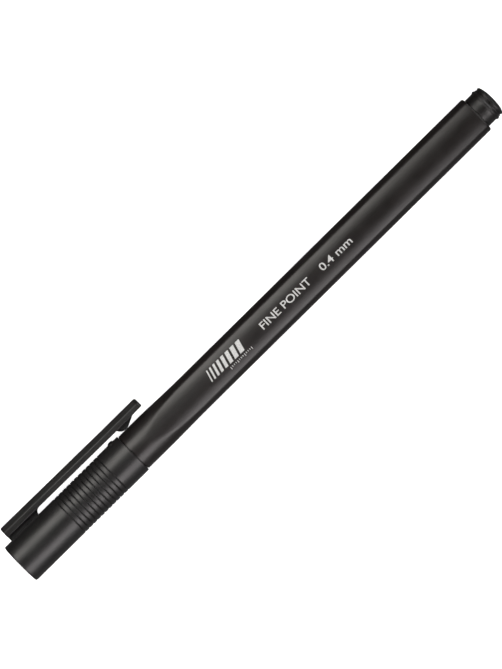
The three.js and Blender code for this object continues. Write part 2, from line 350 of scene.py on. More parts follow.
class Surface:
    """A node material with one Principled shader and short calls to add texture to it."""

    def __init__(self, name):
        self.material = bpy.data.materials.new(name)
        self.material.use_nodes = True
        self.nodes = self.material.node_tree.nodes
        self.links = self.material.node_tree.links
        self.shader = self.nodes["Principled BSDF"]
        self.where = self.nodes.new("ShaderNodeTexCoord").outputs["Object"]

    def put(self, **values):
        """Sets the shader's own sockets."""
        for key, value in values.items():
            self.shader.inputs[key.replace("_", " ")].default_value = value

    def stretched(self, scale):
        """Object coordinates stretched by a scale along each axis."""
        mapping = self.nodes.new("ShaderNodeMapping")
        mapping.inputs["Scale"].default_value = scale
        self.links.new(self.where, mapping.inputs["Vector"])
        return mapping.outputs["Vector"]

    def noise(self, size_mm, detail, rough=0.5, where=None):
        """Noise with features of about size_mm."""
        node = self.nodes.new("ShaderNodeTexNoise")
        node.inputs["Scale"].default_value = 1 / (size_mm * MM)
        node.inputs["Detail"].default_value = detail
        node.inputs["Roughness"].default_value = rough
        self.links.new(where or self.where, node.inputs["Vector"])
        return node.outputs["Fac"]

    def span(self, value, low, high, from_low=0.3, from_high=0.7):
        """Maps a value from one range to another, clamped."""
        node = self.nodes.new("ShaderNodeMapRange")
        node.inputs["From Min"].default_value = from_low
        node.inputs["From Max"].default_value = from_high
        node.inputs["To Min"].default_value = low
        node.inputs["To Max"].default_value = high
        self.links.new(value, node.inputs["Value"])
        return node.outputs["Result"]

    def math(self, operation, a, b):
        """One arithmetic node; a and b are sockets or numbers."""
        node = self.nodes.new("ShaderNodeMath")
        node.operation = operation
        for socket, value in zip(node.inputs, (a, b)):
            if isinstance(value, (int, float)):
                socket.default_value = value
            else:
                self.links.new(value, socket)
        return node.outputs["Value"]

    def mix(self, share, dark, light):
        """A colour between dark and light."""
        node = self.nodes.new("ShaderNodeMix")
        node.data_type = "RGBA"
        node.inputs["A"].default_value = (*dark, 1)
        node.inputs["B"].default_value = (*light, 1)
        self.links.new(share, node.inputs["Factor"])
        return node.outputs["Result"]

    def colour(self, socket):
        """Feeds the base colour."""
        self.links.new(socket, self.shader.inputs["Base Color"])

    def roughness(self, socket):
        """Feeds the roughness."""
        self.links.new(socket, self.shader.inputs["Roughness"])

    def bump(self, height, depth_mm, strength=1.0, under=None):
        """Adds a bump of depth_mm, over another bump if one is given."""
        node = self.nodes.new("ShaderNodeBump")
        node.inputs["Distance"].default_value = depth_mm * MM
        node.inputs["Strength"].default_value = strength
        self.links.new(height, node.inputs["Height"])
        if under is not None:
            self.links.new(under, node.inputs["Normal"])
        self.links.new(node.outputs["Normal"], self.shader.inputs["Normal"])
        return node.outputs["Normal"]

    def edges(self):
        """High on convex edges, from the mesh's own shape."""
        return self.nodes.new("ShaderNodeNewGeometry").outputs["Pointiness"]


def black_plastic(name, dark, light, rough_low, rough_high):
    """Satin black moulded plastic: fine grain, faint flow marks, rubbed edges and soft handling marks."""
    skin = Surface(name)
    clouds = skin.noise(size_mm=6, detail=4)
    flow = skin.noise(size_mm=1.6, detail=3, where=skin.stretched((0.12, 1, 1)))
    rubbed = skin.span(skin.edges(), 0, 1, from_low=0.52, from_high=0.6)
    tone = skin.math("MAXIMUM", skin.span(clouds, 0, 0.7), skin.math("MULTIPLY", rubbed, 0.9))
    skin.colour(skin.mix(tone, dark, light))
    handled = skin.math("ADD", skin.math("MULTIPLY", clouds, 0.6), skin.math("MULTIPLY", flow, 0.4))
    skin.roughness(skin.span(handled, rough_low, rough_high, from_low=0.35, from_high=0.65))
    waves = skin.bump(flow, depth_mm=0.004, strength=0.5)
    grain = skin.noise(size_mm=0.09, detail=2, rough=0.6)
    skin.bump(grain, depth_mm=0.006, strength=0.5, under=waves)
    skin.put(IOR=1.5)
    return skin.material


def liner_plastic():
    """Natural, slightly milky moulded plastic."""
    skin = Surface("liner_plastic")
    clouds = skin.noise(size_mm=3, detail=3)
    skin.colour(skin.mix(skin.span(clouds, 0, 1), (0.56, 0.56, 0.52), (0.68, 0.68, 0.64)))
    skin.roughness(skin.span(clouds, 0.35, 0.5))
    skin.bump(skin.noise(size_mm=0.1, detail=2), depth_mm=0.003, strength=0.4)
    skin.put(IOR=1.49, Subsurface_Weight=0.3, Subsurface_Scale=0.001)
    return skin.material


def drawn_steel():
    """A thin steel tube with drawing marks along it."""
    skin = Surface("sleeve_steel")
    lines = skin.noise(size_mm=0.05, detail=2, where=skin.stretched((0.02, 1, 1)))
    skin.colour(skin.mix(skin.span(lines, 0, 1), (0.5, 0.5, 0.51), (0.68, 0.68, 0.69)))
    skin.roughness(skin.span(lines, 0.2, 0.36))
    skin.bump(lines, depth_mm=0.002, strength=0.5)
    skin.put(Metallic=1.0)
    return skin.material


def inked_fibre(name, dark, light, size_mm):
    """Fibre soaked in ink: fine strands along the pen."""
    skin = Surface(name)
    strands = skin.noise(size_mm, detail=3, where=skin.stretched((0.03, 1, 1)))
    skin.colour(skin.mix(skin.span(strands, 0, 1), dark, light))
    skin.roughness(skin.span(strands, 0.55, 0.8))
    skin.bump(strands, depth_mm=size_mm / 4, strength=0.6)
    return skin.material


def wrap_film():
    """A thin, slightly wrinkled clear film."""
    skin = Surface("wrap_film")
    creases = skin.noise(size_mm=1.2, detail=3, where=skin.stretched((0.3, 1, 1)))
    skin.colour(skin.mix(skin.span(creases, 0, 1), (0.62, 0.63, 0.63), (0.76, 0.77, 0.76)))
    skin.roughness(skin.span(creases, 0.12, 0.3))
    skin.bump(creases, depth_mm=0.03, strength=0.6)
    skin.put(Transmission_Weight=0.6, IOR=1.45)
    return skin.material


def print_ink():
    """Pale pad-printed ink with a little thin coverage."""
    skin = Surface("print_ink")
    cover = skin.noise(size_mm=0.25, detail=3)
    share = skin.span(cover, 0, 1, from_low=0.35, from_high=0.6)
    skin.colour(skin.mix(share, (0.46, 0.47, 0.465), (0.63, 0.638, 0.633)))
    skin.roughness(skin.span(cover, 0.45, 0.6))
    skin.bump(skin.noise(size_mm=0.08, detail=2), depth_mm=0.002, strength=0.4)
    return skin.material


CAP_BLACK = ((0.0095, 0.009, 0.009), (0.0135, 0.013, 0.0132))
BARREL_BLACK = ((0.008, 0.0062, 0.0059), (0.0125, 0.0103, 0.0097))
PLUG_BLACK = ((0.007, 0.0062, 0.0058), (0.0115, 0.0106, 0.0102))
HOLDER_BLACK = ((0.016, 0.016, 0.0165), (0.027, 0.027, 0.028))
CAP_PLASTIC = black_plastic("cap_plastic", *CAP_BLACK, 0.35, 0.43)
BARREL_PLASTIC = black_plastic("barrel_plastic", *BARREL_BLACK, 0.34, 0.42)
PLUG_PLASTIC = black_plastic("plug_plastic", *PLUG_BLACK, 0.36, 0.44)
HOLDER_PLASTIC = black_plastic("holder_plastic", *HOLDER_BLACK, 0.3, 0.4)
LINER_PLASTIC = liner_plastic()
SLEEVE_STEEL = drawn_steel()
NIB_FIBRE = inked_fibre("nib_fibre", (0.012, 0.012, 0.016), (0.03, 0.03, 0.036), 0.05)
INK_FIBRE = inked_fibre("ink_fibre", (0.012, 0.012, 0.02), (0.03, 0.03, 0.042), 0.12)
WRAP_FILM = wrap_film()
PRINT_INK = print_ink()


# ------------------------------------------------------------------ cap


def groove_drop(station):
    """How far the cap's surface lies below its full radius in the ringed stretch."""
    last = GROOVE_FIRST + (GROOVES - 1) * GROOVE_PITCH
    nearest = round((station - GROOVE_FIRST) / GROOVE_PITCH)
    nearest = min(GROOVES - 1, max(0, nearest))
    off = abs(station - GROOVE_FIRST - nearest * GROOVE_PITCH)
    drop = GROOVE_DEPTH * math.exp(-((off / GROOVE_HALF) ** 2))
    if GROOVE_FIRST < station < last:
        drop += LAND_PILLOW * (1 - min(1, 2 * off / GROOVE_PITCH)) ** 2
    return drop


def groove_stations():
    """Stations that follow each groove closely and each land loosely."""
    before = [-0.5, -0.38, -0.27, -0.19, -0.14, -0.1, -0.06, -0.03]
    after = [-t for t in reversed(before[1:])]
    stations = []
    for i in range(GROOVES):
        middle = GROOVE_FIRST + i * GROOVE_PITCH
        stations.extend(middle + t * GROOVE_PITCH for t in before + [0] + after)
    stations.append(GROOVE_FIRST + (GROOVES - 0.5) * GROOVE_PITCH)
    return stations


def cap_profile():
    """The shell's outline, from the middle of its closed end round to the middle of its floor."""
    end = fillet([
        (GATE_DEPTH + 0.02, 0, 0),
        (GATE_DEPTH, GATE_R - GATE_WALL, EDGE),
        (CAP_CROWN, GATE_R, EDGE),
        (0, CAP_R, CAP_EDGE),
        (2, CAP_R, 0),
    ], 7)
    ringed = [(s, CAP_R - groove_drop(s)) for s in groove_stations()]
    plain = [(s, CAP_R) for s in stretch(NUB_FROM - NUB_MARGIN, NUB_TO + NUB_MARGIN, 30)]
    mouth = fillet([
        (CAP_MOUTH - 0.5, CAP_R, 0),
        (CAP_MOUTH, CAP_R, EDGE),
        (CAP_MOUTH, CAP_BORE_R + CAP_LEAD, 0.12),
        (CAP_MOUTH - CAP_LEAD_LONG, CAP_BORE_R, EDGE),
        (CAP_FLOOR, CAP_BORE_R, CAP_EDGE),
        (CAP_FLOOR, 0, 0),
    ])
    return end + ringed + plain + mouth


def nub_bulge(station, radius, angle):
    """Raises a small rounded index mark on the clip's side of the cap."""
    if radius < CAP_R - 0.01:
        return radius
    along = (2 * station - NUB_FROM - NUB_TO) / (NUB_TO - NUB_FROM)
    round_off = (angle - math.pi / 2) / NUB_REACH
    inside = 1 - along**2 - abs(round_off) ** 3
    return radius + NUB_HEIGHT * math.sqrt(max(0, inside))


def build_cap():
    """The cap's shell."""
    cap = turned("cap", cap_profile(), CAP_PLASTIC, 192, bulge=nub_bulge)
    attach(cap, "cap")
    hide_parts("cap_shell")


# ------------------------------------------------------------------ clip


def clip_under(station):
    """How far the clip's inner face lies from the pen's axis."""
    lean = (station - CLIP_START) / (CLIP_END - CLIP_START)
    tip = max(0, station - CLIP_LIFT_FROM) / (CLIP_END - CLIP_LIFT_FROM)
    return CLIP_BOTTOM - CLIP_DROP * lean + CLIP_LIFT * tip


def corner_drop(distance, radius):
    """How far a rounded corner lies below its face, at a distance from the end."""
    past = max(0, 1 - distance / radius)
    return radius * (1 - math.sqrt(1 - past**2))


def clip_section(station, half, inset):
    """The clip bar's rounded outline at a station, as (across, up) points round the bar."""
    share = min(1, max(0, (station - CLIP_START) / (CLIP_TAPER_END - CLIP_START)))
    top = CLIP_TOP - CLIP_THIN * share
    top -= corner_drop(station - CLIP_START, ROOT_CORNER) + corner_drop(CLIP_END - station, TIP_CORNER)
    under = clip_under(station) + inset
    shoulder = top - CLIP_SIDE
    side = half - inset
    flat = half - CLIP_BEVEL - inset * 0.6
    loop = [
        (under, 0, 0),
        (under, side, UNDER_EDGE),
        (shoulder, side, SHOULDER_EDGE),
        (top - inset, flat, TOP_EDGE),
        (top - inset, -flat, TOP_EDGE),
        (shoulder, -side, SHOULDER_EDGE),
        (under, -side, UNDER_EDGE),
        (under, 0, 0),
    ]
    return fillet(loop)[:-1]


def bar_rings():
    """(station, half width, inset) of each ring of the bar, with rounded ends."""
    half = CLIP_WIDTH / 2
    rings = []
    for phi in stretch(0, math.pi / 2, 4):
        station = CLIP_START + ROOT_ROUND * (1 - math.cos(phi))
        rings.append((station, half, ROOT_ROUND * (1 - math.sin(phi))))
    close = stretch(CLIP_START + ROOT_ROUND + 0.05, CLIP_START + ROOT_CORNER + 0.05, 3)
    even = stretch(CLIP_START + 2 * ROOT_CORNER, CLIP_END - CLIP_CORNER - 0.5, BAR_STEPS)
    for station in close + even:
        rings.append((station, half, 0))
    for phi in stretch(0, math.pi / 2, 10):
        station = CLIP_END - CLIP_CORNER * (1 - math.sin(phi))
        narrow = CLIP_CORNER * (1 - math.cos(phi))
        past = max(0, station - (CLIP_END - END_ROUND)) / END_ROUND
        rings.append((station, half - narrow, END_ROUND * (1 - math.sqrt(max(0, 1 - past**2)))))
    return rings


def clip_bar():
    """The bar's mesh in mm, as (station, across, up), closed at both ends."""
    rings = []
    for station, half, inset in bar_rings():
        rings.append([(station, across, up) for across, up in clip_section(station, half, inset)])
    mesh = ring_mesh("clip_bar", rings)
    work = bmesh.new()
    work.from_mesh(mesh)
    work.verts.ensure_lookup_table()
    count = len(rings[0])
    work.faces.new(work.verts[:count])
    work.faces.new(work.verts[-count:])
    bmesh.ops.recalc_face_normals(work, faces=work.faces)
    work.to_mesh(mesh)
    work.free()
    return mesh


def slab(name, outline, width, rounding):
    """A block in mm with the given (station, across) outline, centred on the pen's middle plane."""
    mesh = bpy.data.meshes.new(name)
    work = bmesh.new()
    low = [work.verts.new((s, a, -width / 2)) for s, a in outline]
    high = [work.verts.new((s, a, width / 2)) for s, a in outline]
    side_low = work.faces.new(low)
    side_high = work.faces.new(high)
    for i in range(len(outline)):
        j = (i + 1) % len(outline)
        work.faces.new((low[i], low[j], high[j], high[i]))
    bmesh.ops.recalc_face_normals(work, faces=work.faces)
    edges = list({e for f in (side_low, side_high) for e in f.edges})
    bmesh.ops.bevel(work, geom=edges, offset=rounding, segments=4, profile=0.5, affect="EDGES")
    work.to_mesh(mesh)
    work.free()
    return mesh


def block_outline():
    """The root block's side view: from inside the cap's wall to inside the bar."""
    rear = CLIP_START + BLOCK_INSET
    foot = CAP_R - WALL_SINK
    head = CLIP_BOTTOM + BAR_SINK
    front = BLOCK_FRONT + BLOCK_FILLET
    level = clip_under(front) - BLOCK_FILLET
    points = [(rear, foot), (BLOCK_FRONT, foot)]
    for phi in stretch(math.pi, math.pi / 2, 8):
        points.append((front + BLOCK_FILLET * math.cos(phi), level + BLOCK_FILLET * math.sin(phi)))
    points += [(front, head), (rear, head)]
    return points


def bead_outline():
    """The gripping bead's side view: a steep hollow front, a rounded tip and a long back slope."""
    low = [Vector((station, BARREL_R + gap)) for station, gap in BEAD_TIP]
    steep = Vector((BEAD_FROM, clip_under(BEAD_FROM)))
    bend = Vector((BEAD_FROM + BEAD_HOLLOW[0], BARREL_R + BEAD_HOLLOW[1]))
    head = CLIP_BOTTOM + BAR_SINK
    points = [(BEAD_FROM, head)]
    for t in stretch(0, 1, 6):
        spot = steep.lerp(bend, t).lerp(bend.lerp(low[0], t), t)
        points.append((spot.x, spot.y))
    points += [(spot.x, spot.y) for spot in low[1:]]
    points += [(BEAD_TO, clip_under(BEAD_TO)), (BEAD_TO, head)]
    return points


def evaluated_mesh(piece):
    """A new mesh of an object as its modifiers leave it."""
    depsgraph = bpy.context.evaluated_depsgraph_get()
    return bpy.data.meshes.new_from_object(piece.evaluated_get(depsgraph))


def joined(base, *others):
    """Joins meshes into the first by exact boolean union and returns the result."""
    body = bpy.data.objects.new("join_body", base)
    bpy.context.scene.collection.objects.link(body)
    for mesh in others:
        other = bpy.data.objects.new("join_other", mesh)
        bpy.context.scene.collection.objects.link(other)
        union = body.modifiers.new("union", "BOOLEAN")
        union.operation = "UNION"
        union.solver = "EXACT"
        union.object = other
        bpy.context.view_layer.update()
        made = evaluated_mesh(body)
        body.modifiers.clear()
        body.data = made
        bpy.data.objects.remove(other)
    made = body.data
    bpy.data.objects.remove(body)
    return made


def build_clip():
    """The clip, with its root block and gripping bead, joined into one piece."""
    block = slab("clip_block", block_outline(), BLOCK_WIDTH, BLOCK_EDGE)
    bead = slab("clip_bead", bead_outline(), BLOCK_WIDTH, EDGE)
    mesh = joined(clip_bar(), block, bead)
    mesh.materials.clear()
    for vertex in mesh.vertices:
        vertex.co = place(*vertex.co)
    clip = new_object("clip", mesh, CAP_PLASTIC, 28)
    flat = clip.modifiers.new("flat faces", "WEIGHTED_NORMAL")
    flat.keep_sharp = True
    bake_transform(clip)
    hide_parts("clip_arm")


# ------------------------------------------------------------------ barrel


def facet_apex(station):
    """How far a facet's middle lies from the axis: outside the round front, then sinking to full depth."""
    t = min(1, (station - TONGUE_START) / TONGUE_LENGTH)
    return FACET_APEX + (BARREL_R - FACET_APEX) * (1 - t) ** 2


def soft_min(a, b, width):
    """The smaller of a and b, rounded off where they meet."""
    share = min(1, max(0, 0.5 + 0.5 * (b - a) / width))
    return b + (a - b) * share - width * share * (1 - share)


def barrel_radius(station, angle):
    """The barrel's outer radius; angle is measured from straight up."""
    third = TURN / 3
    from_facet = angle + BARREL_TURN
    off = from_facet - third * round(from_facet / third)
    centre = FACET_R - facet_apex(station)
    facet = math.sqrt(FACET_R**2 - (centre * math.sin(off)) ** 2) - centre * math.cos(off)
    return soft_min(BARREL_R, facet, CREASE)


def barrel_bulge(station, radius, angle):
    """Pulls the outer surface in to the three facets."""
    if radius < BARREL_BORE_R + 0.3:
        return radius
    return radius - BARREL_R + barrel_radius(station, angle)


def build_barrel():
    """The barrel's tube."""
    front = fillet([
        (BARREL_FRONT + 1, BARREL_BORE_R, 0),
        (BARREL_FRONT, BARREL_BORE_R, 0.2),
        (BARREL_FRONT, SEAM_R, 0.03),
        (BARREL_FRONT + SEAM_STEP, SEAM_R, 0.03),
        (BARREL_FRONT + SEAM_STEP, BARREL_R, 0.05),
        (BARREL_FRONT + 1.5, BARREL_R, 0),
    ], 6)
    tongue = stretch(TONGUE_START - 3, TONGUE_START + TONGUE_LENGTH + 1, 110)
    even = stretch(TONGUE_START + 25, BARREL_END - 3, 12)
    body = [(station, BARREL_R) for station in tongue + even]
    back = fillet([
        (BARREL_END - 1.5, BARREL_R, 0),
        (BARREL_END, BARREL_R, BARREL_END_EDGE),
        (BARREL_END, BARREL_BORE_R, 0.15),
        (BARREL_END - 1, BARREL_BORE_R, 0),
    ], 7)
    profile = front + body + back
    barrel = turned("barrel_tube", profile, BARREL_PLASTIC, 480, closed=True, bulge=barrel_bulge)
    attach(barrel, "pen")
    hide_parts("barrel")


# ------------------------------------------------------------------ point, ink and tail


def hump(at, half, height, radius):
    """Points over a rounded ring of the given half width and height."""
    points = []
    for t in stretch(-1, 1, 12):
        points.append((at + half * t, radius + height * math.cos(t * math.pi / 2) ** 2))
    return points


def build_liner():
    """The thin liner inside the cap that seals over the point."""
    low = station_of(liner_low.x)
    mouth = station_of(liner_high.x)
    profile = fillet([
        (low, 0, 0),
        (low, LINER_BAND_R, 0.3),
        (low + LINER_BAND, LINER_BAND_R, EDGE),
        (low + LINER_BAND + LINER_STEP, LINER_R, EDGE),
        (mouth - LINER_BAND - LINER_STEP, LINER_R, EDGE),
        (mouth - LINER_BAND, LINER_BAND_R, EDGE),
        (mouth, LINER_BAND_R, EDGE),
        (mouth, LINER_LIP_R, EDGE),
        (mouth - LINER_LIP, LINER_BORE_R, 0.2),
        (low + LINER_FLOOR, LINER_BORE_R, 0.5),
        (low + LINER_FLOOR, 0, 0),
    ])
    liner = turned("liner", profile, LINER_PLASTIC, 128)
    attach(liner, "liner")
    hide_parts("inner_cap")


def build_holder():
    """The front section: cone, seal land, neck with its snap ring, and the part pressed into the barrel."""
    low = station_of(holder_low.x)
    rear = station_of(holder_high.x)
    sleeve_hole = SLEEVE_R + SEAM
    feed_hole = FEED_R + SEAM
    hole_step = SLEEVE_REAR + SEAM
    flange = BARREL_FRONT - SEAM
    nose = fillet([
        (low + 0.6, sleeve_hole, 0),
        (low, sleeve_hole, 0.08),
        (low, CONE_FRONT_R, 0.2),
        (SHOULDER, SHOULDER_R, 1),
        (LAND_FRONT, LAND_R, 0.4),
        (NECK_FRONT - 0.4, LAND_R, 0.15),
        (NECK_FRONT, NECK_R - 0.15, 0.2),
        (NECK_FRONT + 0.3, NECK_R, 0.2),
        (NECK_FRONT + 1.5, NECK_R, 0),
    ])
    rest = fillet([
        (SNAP_AT + SNAP_ROOM, NECK_R, 0),
        (flange, NECK_R, EDGE),
        (flange, SPIGOT_R, 0.05),
        (rear, SPIGOT_R, 0.3),
        (rear, feed_hole, EDGE),
        (hole_step, feed_hole, EDGE),
        (hole_step, sleeve_hole, EDGE),
        (low + 1.5, sleeve_hole, 0),
    ])
    profile = nose + hump(SNAP_AT, SNAP_HALF, SNAP_HEIGHT, NECK_R) + rest
    holder = turned("point_holder", profile, HOLDER_PLASTIC, 128, closed=True)
    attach(holder, "pen")
    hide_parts("nib_holder")


def build_sleeve():
    """The steel tube round the point, drawn in at its mouth."""
    low = station_of(sleeve_low.x)
    profile = fillet([
        (low + 0.3, SLEEVE_MOUTH_R, 0),
        (low, SLEEVE_MOUTH_R + 0.01, 0.03),
        (low, SLEEVE_TIP_R, 0.08),
        (low + 0.6, SLEEVE_R, 0.5),
        (SLEEVE_REAR, SLEEVE_R, 0.03),
        (SLEEVE_REAR, SLEEVE_BORE_R, 0.03),
        (low + 0.8, SLEEVE_BORE_R, 0),
    ])
    sleeve = turned("sleeve", profile, SLEEVE_STEEL, 64, closed=True)
    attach(sleeve, "pen")
    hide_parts("nib_sleeve")


def build_nib():
    """The writing point and the feed behind it."""
    low = station_of(nib_low.x)
    rear = station_of(nib_high.x)
    tip = []
    for phi in stretch(0, math.pi / 2, 8):
        tip.append((low + NIB_ROUND * (1 - math.cos(phi)), NIB_TIP_R * math.sin(phi)))
    body = fillet([
        (low + 0.5, NIB_TIP_R, 0),
        (low + 1.2, NIB_TIP_R, EDGE),
        (low + 1.8, NIB_R, EDGE),
        (FEED_FRONT - 0.4, NIB_R, EDGE),
        (FEED_FRONT, FEED_R, EDGE),
        (rear - 0.6, FEED_R, 0.2),
        (rear, FEED_R / 3, EDGE),
        (rear, 0, 0),
    ])
    nib = turned("nib", tip + body, NIB_FIBRE, 48)
    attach(nib, "pen")
    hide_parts("nib_rod")


def flutes(station, radius, angle):
    """Draws the core's side in to shallow flutes."""
    if radius < CORE_R - 2 * CORE_EDGE:
        return radius
    return radius - FLUTE_DEPTH * (1 + math.cos(FLUTES * angle))


def build_core():
    """The fluted fibre core that holds the ink, with a hole for the feed."""
    low = station_of(core_low.x)
    rear = station_of(core_high.x)
    hole = station_of(nib_high.x) + SEAM
    hole_r = FEED_R + SEAM
    profile = [(hole, 0), (hole, hole_r)] + fillet([
        (low, hole_r, 0),
        (low, CORE_R, CORE_EDGE),
        (rear, CORE_R, CORE_EDGE),
        (rear, 0, 0),
    ])
    core = turned("ink_core", profile, INK_FIBRE, 144, bulge=flutes)
    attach(core, "pen")
    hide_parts("ink_reservoir")


def build_film():
    """The film wrapped round the ink core, open at both ends."""
    film_front = station_of(film_low.x)
    film_rear = station_of(film_high.x)
    wrap = fillet([
        (film_front + 2, FILM_BORE_R, 0),
        (film_front, FILM_BORE_R, FILM_EDGE),
        (film_front, FILM_R, FILM_EDGE),
        (film_rear, FILM_R, FILM_EDGE),
        (film_rear, FILM_BORE_R, FILM_EDGE),
        (film_rear - 2, FILM_BORE_R, 0),
    ], 3)
    film = turned("film_wrap", wrap, WRAP_FILM, 96, closed=True)
    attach(film, "pen")
    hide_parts("reservoir_film")


def build_plug():
    """The tail plug: spigot, flange, snap ring, groove and domed end."""
    low = station_of(plug_low.x)
    seat = BARREL_END + SEAM
    groove_end = PLUG_GROOVE + PLUG_GROOVE_WIDTH
    groove_r = PLUG_R - PLUG_GROOVE_DEPTH
    inside = fillet([
        (PLUG_HOLLOW_END, 0, 0),
        (PLUG_HOLLOW_END, PLUG_HOLLOW_R, 0.4),
        (low + 2, PLUG_HOLLOW_R, 0),
    ])
    front = fillet([
        (low + 1, PLUG_HOLLOW_R, 0),
        (low, PLUG_HOLLOW_R, EDGE),
        (low, SPIGOT_R, 0.3),
        (seat, SPIGOT_R, 0.05),
        (seat, PLUG_R, 0.08),
        (seat + PLUG_FLANGE, PLUG_R, 0),
    ])
    bead = hump(PLUG_BEAD, PLUG_BEAD_HALF, PLUG_BEAD_HEIGHT, PLUG_R)
    groove = fillet([
        (PLUG_GROOVE - 0.28, PLUG_R, 0),
        (PLUG_GROOVE - 0.08, PLUG_R, 0.06),
        (PLUG_GROOVE, groove_r, 0.05),
        (groove_end, groove_r, 0.05),
        (groove_end + 0.1, PLUG_R, 0.06),
        (groove_end + 0.32, PLUG_R, 0),
    ])
    dome = []
    for phi in stretch(0, math.pi / 2, 14):
        out = math.cos(phi) ** DOME_RIM if phi < math.pi / 2 - 1e-6 else 0
        dome.append((PLUG_END - PLUG_DOME * (1 - math.sin(phi) ** DOME_RISE), PLUG_R * out))
    plug = turned("end_plug", inside + front + bead + groove + dome, PLUG_PLASTIC, 160)
    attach(plug, "pen")
    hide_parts("tail_plug")


# ------------------------------------------------------------------ print


def facet_height(across):
    """The upper facet's height over the axis, at an offset from its middle line."""
    return FACET_APEX - FACET_R + math.sqrt(FACET_R**2 - across**2)


def wrap_print(name, mesh):
    """Lays flat artwork, drawn as (station, across) in mm with some thickness, on the upper facet."""
    work = bmesh.new()
    work.from_mesh(mesh)
    bmesh.ops.remove_doubles(work, verts=work.verts, dist=1e-5)
    for across in stretch(-PRINT_REACH, PRINT_REACH, PRINT_CUTS):
        geometry = list(work.verts) + list(work.edges) + list(work.faces)
        bmesh.ops.bisect_plane(work, geom=geometry, plane_co=(0, across, 0), plane_no=(0, 1, 0), dist=1e-6)
    for vertex in work.verts:
        station, across, up = vertex.co
        height = facet_height(across) + up
        turned_across = across * math.cos(BARREL_TURN) - height * math.sin(BARREL_TURN)
        turned_up = across * math.sin(BARREL_TURN) + height * math.cos(BARREL_TURN)
        vertex.co = place(station, turned_across, turned_up)
    bmesh.ops.recalc_face_normals(work, faces=work.faces)
    work.to_mesh(mesh)
    work.free()
    piece = new_object(name, mesh, PRINT_INK, 40)
    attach(piece, "pen")


def print_words(name, words, span):
    """Words in the built-in typeface, which fill the span between two stations."""
    curve = bpy.data.curves.new(name, "FONT")
    curve.body = words
    curve.size = 1
    curve.resolution_u = 8
    curve.offset = WORDS_BOLD
    curve.extrude = 0.5
    text = bpy.data.objects.new(name + "_text", curve)
    bpy.context.scene.collection.objects.link(text)
    bpy.context.view_layer.update()
    mesh = evaluated_mesh(text)
    bpy.data.objects.remove(text)
    low_x = min(v.co.x for v in mesh.vertices)
    high_x = max(v.co.x for v in mesh.vertices)
    low_y = min(v.co.y for v in mesh.vertices)
    high_y = max(v.co.y for v in mesh.vertices)
    for vertex in mesh.vertices:
        x, y, z = vertex.co
        station = span[0] + (span[1] - span[0]) * (x - low_x) / (high_x - low_x)
        across = WORDS_MIDDLE + WORDS_HEIGHT * ((y - low_y) / (high_y - low_y) - 0.5)
        vertex.co = (station, across, PRINT_THICK if z > 0 else -PRINT_THICK)
    wrap_print(name, mesh)


def flat_shapes(outlines):
    """A mesh of thin closed plates from (station, across) outlines."""
    work = bmesh.new()
    for outline in outlines:
        low = [work.verts.new((s, a, -PRINT_THICK)) for s, a in outline]
        high = [work.verts.new((s, a, PRINT_THICK)) for s, a in outline]
        work.faces.new(low)
        work.faces.new(high)
        for i in range(len(outline)):
            j = (i + 1) % len(outline)
            work.faces.new((low[i], low[j], high[j], high[i]))
    mesh = bpy.data.meshes.new("plates")
    bmesh.ops.recalc_face_normals(work, faces=work.faces)
    work.to_mesh(mesh)
    work.free()
    return mesh


def slanted(first, wide, low, high, lean):
    """A leaning bar's outline."""
    return [
        (first, low),
        (first + wide, low),
        (first + wide + lean * (high - low), high),
        (first + lean * (high - low), high),
    ]


def print_emblem():
    """A plain line-weight gauge: leaning bars that thicken, over a short row of ruler ticks."""
    outlines = []
    first = GAUGE_FROM
    for i in range(GAUGE_BARS):
        wide = GAUGE_THIN + GAUGE_GROWTH * i
        outlines.append(slanted(first, wide, GAUGE_LOW, GAUGE_HIGH, GAUGE_LEAN))
        first += wide + GAUGE_GAP
    for i in range(TICKS):
        low = TICK_LONG if i % TICKS_PER_LONG == 0 else TICK_SHORT
        outlines.append(slanted(TICK_FROM + TICK_PITCH * i, TICK_WIDTH, low, TICK_TOP, 0))
    wrap_print("print_emblem", flat_shapes(outlines))


# ------------------------------------------------------------------ stage, light and camera

LEAN = math.radians(44.64)  # how far the pen leans from the picture's horizontal
LENS = 400
SENSOR = 36
VIEW_HIGH = 161.33  # how much of the pen's plane the picture's height takes in, in mm
VIEW_LEFT = 1.32  # how far the picture's middle lies from the pen's, in mm
VIEW_DOWN = 0.79


def build_camera():
    """Looks straight down on the pen with a long lens, turned so that the tail points up to the right."""
    camera = bpy.data.cameras.new("camera")
    camera.lens = LENS
    camera.sensor_width = SENSOR
    distance = LENS / SENSOR * VIEW_HIGH * MM
    seen = bpy.data.objects.new("camera", camera)
    bpy.context.scene.collection.objects.link(seen)
    right = Vector((math.cos(LEAN), -math.sin(LEAN), 0))
    upwards = Vector((math.sin(LEAN), math.cos(LEAN), 0))
    middle = Vector(place(PLUG_END / 2, 0, 0))
    aim = middle - right * VIEW_LEFT * MM - upwards * VIEW_DOWN * MM
    seen.location = aim + Vector((0, 0, distance))
    seen.rotation_euler = (0, 0, -LEAN)
    bpy.context.scene.camera = seen


def area_light(name, where, target, size, power, colour=(1, 1, 1)):
    """A soft rectangular light at `where`, facing `target`. The first side of its size runs along the pen."""
    light = bpy.data.lights.new(name, "AREA")
    light.shape = "RECTANGLE"
    light.size, light.size_y = size
    light.energy = power
    light.color = colour
    lamp = bpy.data.objects.new(name, light)
    bpy.context.scene.collection.objects.link(lamp)
    away = (Vector(where) - Vector(target)).normalized()
    across = away.cross(Vector((1, 0, 0))).normalized()
    along = across.cross(away)
    lamp.matrix_world = matrix_of((along, across, away), where)
    return lamp


def matrix_of(axes, where):
    """A world matrix from three axes and a place."""
    rows = [[axis[i] for axis in axes] + [where[i]] for i in range(3)]
    return Matrix(rows + [[0, 0, 0, 1]])


